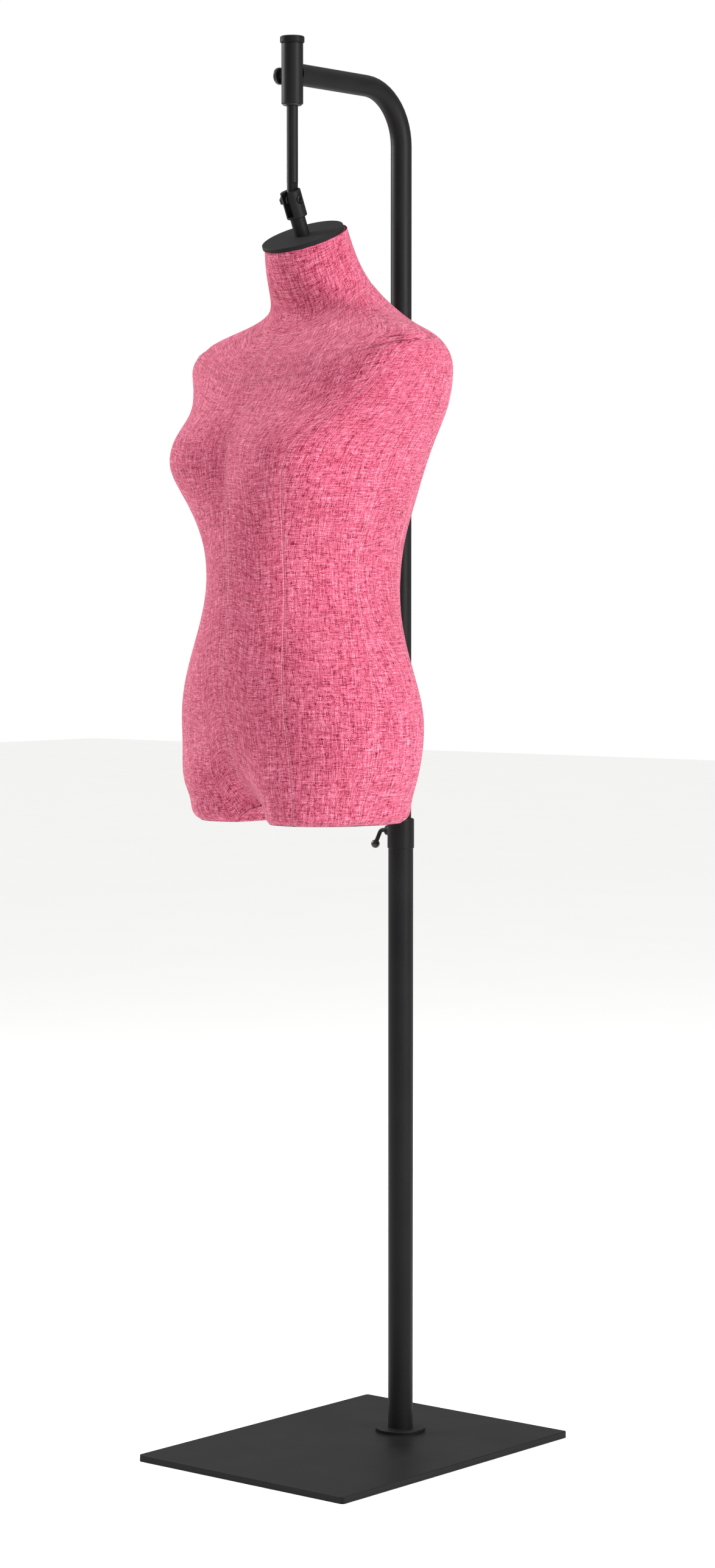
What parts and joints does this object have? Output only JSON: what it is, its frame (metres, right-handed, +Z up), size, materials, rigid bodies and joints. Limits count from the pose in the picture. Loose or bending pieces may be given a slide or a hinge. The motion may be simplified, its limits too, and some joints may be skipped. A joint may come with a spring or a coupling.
{
  "type": "dress form mannequin",
  "caption": "Fabric-covered half-body dress form hanging by a neck rod from a height-adjustable gooseneck stand on a flat base plate.",
  "frame": {"origin": "centre of the base plate's underside, on the floor", "axes": "+Z up along the post, the stand's arm points along -Y, which is the front; +X is to the torso's left hand"},
  "size_m": [0.3653, 0.4392, 1.6565],
  "materials": {
    "black_powder_coat": "satin black powder coat",
    "cap_paint": "matte black paint",
    "black_screw": "black oxide",
    "zinc_steel": "zinc plated",
    "nylon": "natural nylon",
    "black_nylon": "black nylon",
    "knob_plastic": "black moulded plastic",
    "plywood": "bare plywood",
    "shell_plastic": "moulded shell",
    "pink_linen": "melange linen weave"
  },
  "bodies": {
    "stand": {"base_plate": "black_powder_coat", "base_flange": "black_powder_coat", "foot_plug": "zinc_steel", "base_bolt": "zinc_steel", "post_tube": "black_powder_coat", "height_collar": "black_powder_coat", "collar_bush": "nylon", "lock_boss": "black_powder_coat"},
    "mast": {"mast_tube": "black_powder_coat", "mast_glide": "nylon", "clamp_tube": "black_powder_coat", "lower_bush": "black_nylon", "upper_bush": "nylon", "thumb_boss": "black_powder_coat"},
    "height_lever": {"lever_screw": "black_powder_coat", "lever_ball": "knob_plastic"},
    "thumb_screw": {"thumb_screw": "knob_plastic"},
    "swivel_washer": {"cap_washer": "black_nylon"},
    "hanger_rod": {"hanger_rod": "black_powder_coat", "rod_cap": "black_powder_coat"},
    "torso": {"hinge_fork": "black_powder_coat", "pivot_screw": "black_screw", "pivot_nut": "black_screw", "hinge_washers": "nylon", "neck_cap": "cap_paint", "neck_block": "plywood", "neck_washer": "zinc_steel", "neck_nut": "zinc_steel", "torso_shell": "shell_plastic", "fabric_cover": "pink_linen"}
  },
  "joints": [
    {"name": "mast_height", "type": "slide", "parent": "stand", "child": "mast", "axis": [0, 0, 1], "range_m": [-0.35, 0.2]},
    {"name": "height_lever_turn", "type": "hinge", "parent": "stand", "child": "height_lever", "pos_m": [-0.02, 0.084, 0.735], "axis": [-1, 0, 0], "range_deg": [0, 270]},
    {"name": "thumb_screw_turn", "type": "hinge", "parent": "mast", "child": "thumb_screw", "pos_m": [-0.015, -0.113, 1.613], "axis": [-1, 0, 0], "range_deg": [0, 270]},
    {"name": "rod_swivel", "type": "hinge", "parent": "mast", "child": "swivel_washer", "pos_m": [0, -0.113, 1.6485], "axis": [0, 0, 1], "range_deg": [-20, 38]},
    {"name": "rod_height", "type": "slide", "parent": "swivel_washer", "child": "hanger_rod", "axis": [0, 0, 1], "range_m": [0, 0.07]},
    {"name": "torso_tilt", "type": "hinge", "parent": "hanger_rod", "child": "torso", "pos_m": [0, -0.113, 1.471], "axis": [1, 0, 0], "range_deg": [-25, 2]}
  ]
}
